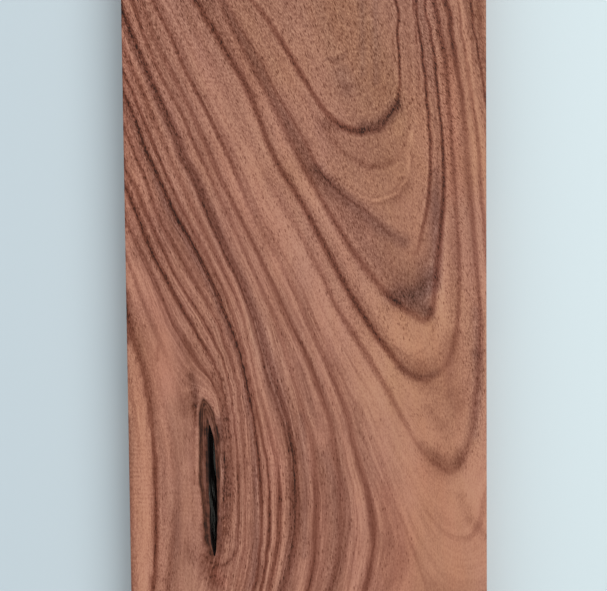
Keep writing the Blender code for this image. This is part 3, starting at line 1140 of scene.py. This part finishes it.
def nearLines(shop, age, reach=3.0, atOnce=6):
    # How near the closest growth line is: 1 on it, 0 where it is as far off in age as the reach
    ages = sorted({line["age"] for line in growthLines.values() if "left" in line})
    near = None
    for first in range(0, len(ages), atOnce):
        group = ages[first:first + atOnce]
        low = group[0] - reach
        span = group[-1] + reach - low
        peaks = [(low, 0.0)]
        for lineAge, following in zip(group, group[1:] + [None]):
            peaks.append((lineAge, 1.0))
            if following is None:
                peaks.append((low + span, 0.0))
            elif following - lineAge > 2 * reach:
                peaks += [(lineAge + reach, 0.0), (following - reach, 0.0)]
            else:
                peaks.append(((lineAge + following) / 2, 1 - (following - lineAge) / 2 / reach))
        stops = [((place - low) / span, (value, value, value, 1)) for place, value in peaks]
        value = shop.ramp(shop.between(age, low, low + span, soft=False), stops)
        near = value if near is None else shop.math("MAXIMUM", near, value)
    print("line ramps laid for", len(ages), "lines")
    return near


def poreLayer(shop, coordinates, sizes, share, seed):
    # Open vessels: short spindles along the fibres, a share of the cells holding one
    scaled = shop.vector("MULTIPLY", coordinates, tuple(1 / size for size in sizes))
    moved = shop.vector("ADD", scaled, (seed * 3.7, seed * 11.9, seed * 6.1))
    cells = shop.node("ShaderNodeTexVoronoi")
    shop.feed(cells.inputs["Vector"], moved)
    shop.feed(cells.inputs["Scale"], 1.0)
    lot = shop.node("ShaderNodeSeparateColor")
    shop.feed(lot.inputs[0], cells.outputs["Color"])
    kept = shop.between(shop.math("SUBTRACT", share, lot.outputs[0]), -0.05, 0.05)
    spindle = shop.between(cells.outputs["Distance"], 0.2, 0.42, 1.0, 0.0)
    return shop.math("MULTIPLY", kept, spindle)


def makeRosewood():
    material = bpy.data.materials.new("rosewoodFigure")
    material.use_nodes = True
    shop = Shop(material.node_tree)
    shader = material.node_tree.nodes["Principled BSDF"]
    place = shop.node("ShaderNodeTexCoord").outputs["Object"]
    inMm = shop.node("ShaderNodeSeparateXYZ")
    shop.feed(inMm.inputs[0], shop.vector("SCALE", place, scale=1000.0))
    fibres = shop.node("ShaderNodeCombineXYZ")
    shop.feed(fibres.inputs[0], shop.field("across"))
    shop.feed(fibres.inputs[1], inMm.outputs[1])
    shop.feed(fibres.inputs[2], inMm.outputs[2])
    fibres = fibres.outputs[0]

    # Growth lines: they wander a little, fine along the fibres and slow between them
    fine = shop.grainNoise(fibres, (0.9, 5.0, 0.9), seed=1)
    slow = shop.grainNoise(fibres, (5.0, 22.0, 5.0), seed=2)
    waver = shop.math("MULTIPLY_ADD", slow, 0.5, shop.math("MULTIPLY", fine, 0.18))
    waver = shop.math("MULTIPLY", waver, shop.field("slope"))
    age = shop.math("MULTIPLY_ADD", waver, wood["waver"], shop.field("age"))
    wide = shop.field("inkWide")
    gap = shop.math("MULTIPLY_ADD", nearLines(shop, age), -3.0, 3.0)
    line = shop.between(gap, 0.0, shop.math("MULTIPLY", wide, wood["lineReach"]), 1.0, 0.0)
    rim = shop.between(gap, wide, shop.math("MULTIPLY", wide, 1.3))
    rimEnd = shop.between(gap, shop.math("MULTIPLY", wide, 1.4), shop.math("MULTIPLY", wide, 2.1), 1.0, 0.0)
    rim = shop.math("MULTIPLY", rim, rimEnd)
    rim = shop.math("MULTIPLY", rim, shop.between(gap, 2.4, 2.95, 1.0, 0.0))
    rim = shop.math("MULTIPLY", rim, shop.field("ink"))
    broken = shop.grainNoise(fibres, (0.6, 6.0, 0.6), seed=3)
    line = shop.math("MULTIPLY", line, shop.math("MULTIPLY_ADD", broken, 0.16, 0.94))
    line = shop.math("MULTIPLY", line, shop.field("ink"))

    # Pores and streaks. Fibres run along the board; where the flecks are slanted they cross them
    turned = shop.node("ShaderNodeVectorRotate", rotation_type="Z_AXIS")
    shop.feed(turned.inputs["Vector"], shop.vector("SCALE", place, scale=1000.0))
    turned.inputs["Angle"].default_value = -math.radians(wood["slant"])
    turned = turned.outputs[0]
    slanted = shop.field("slanted")
    streaky = shop.field("streaky")
    gather = shop.grainNoise(fibres, (6.0, 14.0, 6.0), seed=8)
    share = shop.math("MULTIPLY_ADD", shop.field("pores"), 0.7, wood["poreShare"])
    share = shop.math("MULTIPLY_ADD", line, 0.2, share)
    share = shop.math("MULTIPLY_ADD", streaky, -0.14, share)
    share = shop.math("MULTIPLY_ADD", gather, 0.16, share)
    vessels = shop.blend(slanted, poreLayer(shop, fibres, (0.95, 3.4, 0.95), share, 1),
                         poreLayer(shop, turned, (0.9, 2.6, 0.9), share, 3))
    smallVessels = poreLayer(shop, fibres, (0.7, 2.2, 0.7), share, 2)
    pores = shop.math("MAXIMUM", vessels, shop.math("MULTIPLY", smallVessels, 0.8))
    streaks = shop.grainNoise(fibres, (0.5, 5.0, 0.5), detail=3.0, seed=4)
    specks = shop.blend(slanted, shop.grainNoise(fibres, (0.62, 1.4, 0.62), roughness=0.7, seed=5),
                        shop.grainNoise(turned, (0.55, 1.5, 0.55), roughness=0.7, seed=12))
    clouds = shop.grainNoise(fibres, (12.0, 34.0, 12.0), detail=3.0, seed=6)
    mottling = shop.grainNoise(fibres, (0.75, 2.0, 0.75), roughness=0.6, seed=10)
    ringed = shop.node("ShaderNodeCombineXYZ")
    shop.feed(ringed.inputs[0], age)
    shop.feed(ringed.inputs[1], inMm.outputs[1])
    shop.feed(ringed.inputs[2], inMm.outputs[2])
    ringStreaks = shop.grainNoise(ringed.outputs[0], (0.6, 26.0, 26.0), roughness=0.6, seed=11)

    # Brightness
    bright = shop.math("SUBTRACT", wood["clean"], shop.field("dark"))
    bright = shop.math("MULTIPLY_ADD", line, -wood["lineDepth"], bright)
    bright = shop.math("MULTIPLY_ADD", rim, wood["rim"], bright)
    darker = shop.math("MAXIMUM", shop.field("dark"), 0.0)
    rough = shop.math("ADD", darker, shop.math("MULTIPLY", line, 0.05))
    rough = shop.math("MULTIPLY_ADD", rough, wood["mottle"], shop.field("coarse"))
    specked = shop.math("MULTIPLY_ADD", streaky, -wood["speck"] * 0.6, wood["speck"] * 1.15)
    flecks = shop.math("MULTIPLY_ADD", streaks, wood["streak"], shop.math("MULTIPLY", specks, specked))
    patches = shop.math("MULTIPLY", mottling, shop.math("MAXIMUM", shop.field("pores"), 0.0))
    flecks = shop.math("MULTIPLY_ADD", patches, wood["patches"], flecks)
    ringed = shop.math("MULTIPLY_ADD", streaky, wood["ringStreak"] * 1.6, wood["ringStreak"] * 0.7)
    flecks = shop.math("MULTIPLY_ADD", ringStreaks, ringed, flecks)
    bright = shop.math("MULTIPLY_ADD", flecks, rough, bright)
    bright = shop.math("MULTIPLY_ADD", clouds, wood["cloud"], bright)
    # The planer's ripples as stripes of painted light and shade, where they catch the lamps
    knifeBeat = shop.math("MULTIPLY_ADD", inMm.outputs[1], 2 * math.pi / wood["knifeSpacing"],
                          shop.math("MULTIPLY", slow, 1.5))
    ripple = shop.math("SINE", knifeBeat)
    paintedKnifeLight = shop.math("MULTIPLY", ripple, shop.field("knife"))
    bright = shop.math("MULTIPLY_ADD", paintedKnifeLight, wood["knifeLightAndShade"], bright)
    poreTone = shop.math("MULTIPLY", pores, shop.between(bright, 0.15, 0.5, 0.3, 1.0, soft=False))
    poreTone = shop.math("MULTIPLY", poreTone, shop.field("coarse"))
    bright = shop.math("MULTIPLY_ADD", poreTone, -wood["poreDepth"], bright)

    # The knot's eye, with its dark and pale rings, and the walls of its pocket: rotted grey wood, darkened
    # with depth as painted shade
    eye = shop.math("MULTIPLY_ADD", fine, 0.35, shop.field("knot"))
    foot = shop.between(inMm.outputs[1], -131.0, -112.0, 1.0, 0.0)
    eyeShare = shop.between(eye, shop.math("MULTIPLY_ADD", foot, -1.6, -0.5),
                            shop.math("MULTIPLY_ADD", foot, 2.6, 0.7))
    broadTurn, fineTurn = (2 * math.pi / spacing for spacing in wood["eyeRings"])
    rings = shop.math("SINE", shop.math("MULTIPLY_ADD", eye, broadTurn, -2.1 * broadTurn))
    fineRings = shop.math("SINE", shop.math("MULTIPLY", eye, fineTurn))
    fineDepth = shop.between(inMm.outputs[1], -74.0, -62.0, 0.6, 1.5)
    rings = shop.math("MULTIPLY_ADD", fineRings, fineDepth, rings)
    eyeBright = shop.between(eye, 0.0, 4.2, *wood["eyeShade"], soft=False)
    eyeBright = shop.math("MULTIPLY_ADD", rings, wood["eyeRingDepth"], eyeBright)
    eyeBright = shop.math("MULTIPLY_ADD", streaks, 0.075, eyeBright)
    eyeBright = shop.math("MULTIPLY_ADD", specks, 0.05, eyeBright)
    eyeBright = shop.math("SUBTRACT", eyeBright, shop.field("dark"))
    bright = shop.blend(eyeShare, bright, eyeBright)
    # The pocket walls: rotted wood's dull colour, darkened with depth as painted shade of the recess
    rotAndShadeBright = shop.math("MULTIPLY_ADD", streaks, 0.06, wood["rotAndPaintedShade"])
    hollow = shop.math("POWER", shop.field("hollow"), 0.6)
    bright = shop.blend(hollow, bright, rotAndShadeBright)

    # End grain drinks more light
    endShade = shop.math("MULTIPLY_ADD", shop.field("endGrain"), -wood["endGrain"], 1.0)
    bright = shop.math("MULTIPLY", bright, endShade)

    # Colour: from brightness, then redder or greyer, and golden in places
    stops = [(share, tuple(toLinear(value) for value in rgb) + (1.0,)) for share, rgb in woodColours]
    colour = shop.ramp(bright, stops)
    redDrift = shop.grainNoise(fibres, (9.0, 40.0, 9.0), seed=7)
    red = shop.math("MULTIPLY_ADD", redDrift, 0.35, shop.field("red"))
    red = shop.blend(shop.math("MULTIPLY", line, 1.3, clamp=True), red, 1.0)
    red = shop.blend(eyeShare, red, wood["eyeRed"])
    goldDrift = shop.grainNoise(fibres, (7.0, 25.0, 7.0), seed=9)
    golden = shop.math("MULTIPLY_ADD", goldDrift, 0.25, shop.field("golden"))
    tint = shop.node("ShaderNodeCombineXYZ")
    lessBlue = shop.math("MULTIPLY_ADD", golden, -wood["gold"], 1.0)
    shop.feed(tint.inputs[0], shop.math("MULTIPLY_ADD", red, 0.06, 1.0))
    shop.feed(tint.inputs[1], shop.math("MULTIPLY_ADD", red, -0.03, 0.996))
    shop.feed(tint.inputs[2], shop.math("MULTIPLY", shop.math("MULTIPLY_ADD", red, -0.04, 1.0), lessBlue))
    colour = shop.vector("MULTIPLY", colour, tint.outputs[0])
    grey = shop.node("ShaderNodeHueSaturation")
    grey.inputs["Saturation"].default_value = wood["rotColour"]
    shop.feed(grey.inputs["Fac"], hollow)
    shop.feed(grey.inputs["Color"], colour)
    shop.feed(shader.inputs["Base Color"], grey.outputs[0])

    # Finish: planed, bare, a little silk on the dense lines
    rough = shop.math("MULTIPLY_ADD", pores, 0.2, wood["gloss"])
    rough = shop.math("MULTIPLY_ADD", streaks, 0.05, rough)
    rough = shop.math("MULTIPLY_ADD", shop.field("hollow"), 0.3, rough)
    shop.feed(shader.inputs["Roughness"], rough)
    shader.inputs["Specular IOR Level"].default_value = 0.14

    # Relief: pores stand open, fibres catch the light, the planer left faint ripples
    height = shop.math("MULTIPLY_ADD", pores, -0.8, shop.math("MULTIPLY", streaks, 0.25))
    height = shop.math("MULTIPLY_ADD", ripple, 0.05, height)
    relief = shop.node("ShaderNodeBump")
    relief.inputs["Strength"].default_value = 0.5
    relief.inputs["Distance"].default_value = wood["relief"] * mm
    shop.feed(relief.inputs["Height"], height)
    shop.feed(shader.inputs["Normal"], relief.outputs[0])
    print("rosewood laid with", len(material.node_tree.nodes), "nodes")
    return material


# Fibres that the rot left standing in the pocket: each path gives place across, place along
# and depth under the show face, in mm, and holds a few strands
splinters = {
    "strands": 2,
    "thick": 0.17,              # one strand, at its middle
    "apart": 0.5,
    "wander": 0.7,
    "seed": 5,
    "rings": 26,                # points along one strand
    "sides": 6,
    "darkest": (0.02, 0.019, 0.016),
    "palest": (0.17, 0.165, 0.14),
    "paths": (
        ((-48.2, -92, 5), (-47.7, -95, 2.6), (-47.4, -98, 1.8), (-47.1, -101, 3), (-47, -104, 6)),
        ((-48.8, -98, 6), (-48.3, -102, 2.6), (-47.5, -105.5, 1.8), (-46.9, -109, 2.2),
         (-46.8, -114, 5)),
        ((-48.9, -102, 5), (-48.6, -107, 2.6), (-48.5, -112, 2.6), (-48.2, -118, 5)),
        ((-49.3, -95, 3), (-49.4, -99, 1.2), (-49.3, -104, 1.4), (-49.2, -108, 4)),
        ((-47.2, -70, 5), (-46.9, -75, 2.2), (-46.6, -82, 2), (-46.3, -88, 2.6), (-46.1, -93, 6)),
        ((-46.9, -72, 5), (-46.6, -79, 1.8), (-46.4, -86, 1.8), (-46, -92, 5)),
        ((-48, -112, 5), (-47.4, -117, 3.2), (-47.2, -121, 3.6), (-47.2, -125, 6)),
    ),
}


def makeStrandTree(material):
    tree = bpy.data.node_groups.new("strands", "GeometryNodeTree")
    shop = Shop(tree)
    tree.interface.new_socket("Paths", in_out="INPUT", socket_type="NodeSocketGeometry")
    kinds = {"Strands": "Int", "Thick": "Float", "Apart": "Float", "Wander": "Float", "Seed": "Int"}
    for name, kind in kinds.items():
        tree.interface.new_socket(name, in_out="INPUT", socket_type="NodeSocket" + kind)
    tree.interface.new_socket("Fibres", in_out="OUTPUT", socket_type="NodeSocketGeometry")
    given = shop.node("NodeGroupInput").outputs
    curves = shop.node("GeometryNodeMeshToCurve")
    shop.feed(curves.inputs[0], given["Paths"])
    smooth = shop.node("GeometryNodeCurveSplineType", spline_type="CATMULL_ROM")
    shop.feed(smooth.inputs[0], curves.outputs[0])
    copied = shop.node("GeometryNodeDuplicateElements", domain="SPLINE")
    shop.feed(copied.inputs["Geometry"], smooth.outputs[0])
    shop.feed(copied.inputs["Amount"], given["Strands"])
    finer = shop.node("GeometryNodeResampleCurve")
    shop.feed(finer.inputs["Curve"], copied.outputs["Geometry"])
    finer.inputs["Count"].default_value = splinters["rings"]

    # Each strand starts a little aside of its path and wanders on its own
    lot = shop.node("FunctionNodeRandomValue", data_type="FLOAT_VECTOR")
    lot.inputs[0].default_value = (-1, -1, -1)
    lot.inputs[1].default_value = (1, 1, 1)
    shop.feed(lot.inputs["Seed"], given["Seed"])
    eachStrand = shop.node("GeometryNodeFieldOnDomain", domain="CURVE", data_type="FLOAT_VECTOR")
    shop.feed(eachStrand.inputs[0], lot.outputs[0])
    eachStrand = eachStrand.outputs[0]
    aside = shop.vector("MULTIPLY", shop.vector("SCALE", eachStrand, scale=given["Apart"]), (1.0, 4.0, 1.0))
    position = shop.node("GeometryNodeInputPosition").outputs[0]
    along = shop.vector("ADD", shop.vector("SCALE", position, scale=260.0),
                        shop.vector("SCALE", eachStrand, scale=20.0))
    drift = shop.node("ShaderNodeTexNoise")
    shop.feed(drift.inputs["Vector"], along)
    drift.inputs["Scale"].default_value = 1.0
    drift = shop.vector("SUBTRACT", drift.outputs["Color"], (0.5, 0.5, 0.5))
    drift = shop.vector("MULTIPLY", shop.vector("SCALE", drift, scale=given["Wander"]), (1.0, 0.3, 1.0))
    moved = shop.node("GeometryNodeSetPosition")
    shop.feed(moved.inputs["Geometry"], finer.outputs[0])
    shop.feed(moved.inputs["Offset"], shop.vector("ADD", aside, drift))

    # Thin at both ends
    share = shop.node("GeometryNodeSplineParameter").outputs["Factor"]
    swell = shop.math("SINE", shop.math("MULTIPLY", share, math.pi))
    swell = shop.math("MULTIPLY_ADD", shop.math("POWER", shop.math("MAXIMUM", swell, 0.0), 0.5), 0.8, 0.2)
    roundRod = shop.node("GeometryNodeCurvePrimitiveCircle")
    roundRod.inputs["Resolution"].default_value = splinters["sides"]
    shop.feed(roundRod.inputs["Radius"], shop.math("MULTIPLY", given["Thick"], 0.5))
    skin = shop.node("GeometryNodeCurveToMesh")
    shop.feed(skin.inputs["Curve"], moved.outputs[0])
    shop.feed(skin.inputs["Profile Curve"], roundRod.outputs[0])
    shop.feed(skin.inputs["Scale"], swell)
    skin.inputs["Fill Caps"].default_value = True
    real = shop.node("GeometryNodeRealizeInstances")
    shop.feed(real.inputs[0], skin.outputs[0])
    dressed = shop.node("GeometryNodeSetMaterial")
    shop.feed(dressed.inputs["Geometry"], real.outputs[0])
    dressed.inputs["Material"].default_value = material
    shop.feed(shop.node("NodeGroupOutput").inputs["Fibres"], dressed.outputs[0])
    return tree


def makeFibreWood():
    # Rotted heartwood: grey, dry, streaked along the fibre
    material = bpy.data.materials.new("rottedHeartwood")
    material.use_nodes = True
    shop = Shop(material.node_tree)
    shader = material.node_tree.nodes["Principled BSDF"]
    place = shop.vector("SCALE", shop.node("ShaderNodeTexCoord").outputs["Object"], scale=1000.0)
    streaks = shop.grainNoise(place, (0.12, 1.6, 0.12), detail=3.0, seed=1)
    stains = shop.grainNoise(place, (2.0, 5.0, 2.0), seed=2)
    shade = shop.math("MULTIPLY_ADD", streaks, 0.2, shop.math("MULTIPLY_ADD", stains, 0.25, 0.5))
    stops = [(0.1, splinters["darkest"] + (1,)), (0.9, splinters["palest"] + (1,))]
    shop.feed(shader.inputs["Base Color"], shop.ramp(shade, stops))
    shader.inputs["Roughness"].default_value = 0.8
    relief = shop.node("ShaderNodeBump")
    relief.inputs["Distance"].default_value = 0.00005
    shop.feed(relief.inputs["Height"], streaks)
    shop.feed(shader.inputs["Normal"], relief.outputs[0])
    return material


def makeSplinters():
    points = []
    edges = []
    for path in splinters["paths"]:
        first = len(points)
        points += [(x * mm, y * mm, (thickness - depth) * mm) for x, y, depth in path]
        edges += [(number, number + 1) for number in range(first, len(points) - 1)]
    guide = bpy.data.meshes.new("splinterPaths")
    guide.from_pydata(points, edges, [])
    worker = bpy.data.objects.new("splinterPaths", guide)
    bpy.context.scene.collection.objects.link(worker)
    tree = makeStrandTree(makeFibreWood())
    grown = worker.modifiers.new("strands", "NODES")
    grown.node_group = tree
    wanted = {
        "Strands": splinters["strands"],
        "Thick": splinters["thick"] * mm,
        "Apart": splinters["apart"] * mm,
        "Wander": splinters["wander"] * mm,
        "Seed": splinters["seed"],
    }
    for socket in tree.interface.items_tree:
        if socket.item_type == "SOCKET" and socket.name in wanted:
            grown[socket.identifier] = wanted[socket.name]
    graph = bpy.context.evaluated_depsgraph_get()
    mesh = bpy.data.meshes.new_from_object(worker.evaluated_get(graph))
    bpy.data.objects.remove(worker, do_unlink=True)
    mesh.name = "pocketFibres"
    piece = bpy.data.objects.new("pocketFibres", mesh)
    bpy.context.scene.collection.objects.link(piece)
    print("pocket fibres", len(mesh.polygons), "faces")
    return piece


plankShell = makeShell()
print("shell", len(plankShell.data.polygons), "faces")
rosewoodPlank = cutPocket(plankShell, makePocketCutter())
print("pocket cut,", len(rosewoodPlank.data.polygons), "faces")
growFigure(rosewoodPlank)
rosewoodPlank.data.materials.clear()
rosewoodPlank.data.materials.append(makeRosewood())
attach(rosewoodPlank, "root")
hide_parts("board")
pocketFibres = makeSplinters()
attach(pocketFibres, "root")


# Table, lights and camera, set as the board was photographed: straight above it, a hair
# towards its top end
studio = {
    "distance": 499.1,          # mm from the lens to the show face
    "tilt": 2.61,               # degrees off straight down
    "roll": 0.543,
    "aim": (-1.4, 0.0),         # mm on the show face
    "lens": 60.0,
    "sky": (0.92, 0.97, 1.0),
    "skyStrength": 0.6,
    "tableHalf": 3.0,           # metres
    "tableBelow": 0.2,          # mm under the board
    # The table's colour, darker on the left and lighter on the right, is painted light falloff from the key
    # lamp
    "tableLeftShaded": (0.54, 0.62, 0.66),
    "tableRightLit": (0.62, 0.71, 0.73),
    "key": (20.0, 1.4, (0.9, 0.35, 1.5)),       # watts, size and place in metres
    "fill": (4.0, 1.6, (-1.1, -0.3, 1.4)),
}


def makeTable():
    sheet = bmesh.new()
    bmesh.ops.create_grid(sheet, x_segments=1, y_segments=1, size=studio["tableHalf"])
    mesh = bpy.data.meshes.new("paleTable")
    sheet.to_mesh(mesh)
    sheet.free()
    mesh.transform(Matrix.Translation((0, 0, -studio["tableBelow"] * mm)))
    table = bpy.data.objects.new("paleTable", mesh)
    bpy.context.scene.collection.objects.link(table)
    material = bpy.data.materials.new("paleTableTop")
    material.use_nodes = True
    shader = material.node_tree.nodes["Principled BSDF"]
    shop = Shop(material.node_tree)
    across = shop.node("ShaderNodeSeparateXYZ")
    shop.feed(across.inputs[0], shop.node("ShaderNodeTexCoord").outputs["Object"])
    # Painted light falloff across the table, from the shaded left to the lit right
    side = shop.between(across.outputs[0], -0.17, 0.17, soft=False)
    stops = [(0.0, studio["tableLeftShaded"] + (1,)), (1.0, studio["tableRightLit"] + (1,))]
    shop.feed(shader.inputs["Base Color"], shop.ramp(side, stops))
    shader.inputs["Roughness"].default_value = 0.7
    mesh.materials.append(material)


def makeLamp(name, power, size, place):
    lamp = bpy.data.lights.new(name, "AREA")
    lamp.energy = power
    lamp.size = size
    holder = bpy.data.objects.new(name, lamp)
    holder.location = place
    holder.rotation_euler = (-Vector(place)).to_track_quat("-Z", "Y").to_euler()
    bpy.context.scene.collection.objects.link(holder)


def makeStudio():
    makeTable()
    sky = bpy.data.worlds.new("studioSky")
    sky.use_nodes = True
    light = sky.node_tree.nodes["Background"]
    light.inputs["Color"].default_value = studio["sky"] + (1,)
    light.inputs["Strength"].default_value = studio["skyStrength"]
    bpy.context.scene.world = sky
    for name in ("key", "fill"):
        makeLamp(name, *studio[name])
    bpy.context.scene.view_settings.view_transform = "Standard"


def makeCamera():
    tilt, roll = math.radians(studio["tilt"]), math.radians(studio["roll"])
    aimX, aimY = studio["aim"]
    away = studio["distance"]
    place = Vector((aimX, aimY + away * math.sin(tilt), thickness + away * math.cos(tilt))) * mm
    forward = Vector((0, -math.sin(tilt), -math.cos(tilt)))
    level = Vector((1, 0, 0))
    up = Vector((0, math.cos(tilt), -math.sin(tilt)))
    right = math.cos(roll) * level - math.sin(roll) * up
    top = math.sin(roll) * level + math.cos(roll) * up
    camera = bpy.data.objects.new("camera", bpy.data.cameras.new("camera"))
    camera.data.lens = studio["lens"]
    camera.data.sensor_width = 36.0
    turned = Matrix((right, top, -forward)).transposed().to_4x4()
    camera.matrix_world = Matrix.Translation(place) @ turned
    bpy.context.scene.collection.objects.link(camera)
    bpy.context.scene.camera = camera


makeStudio()
makeCamera()
print("studio set")
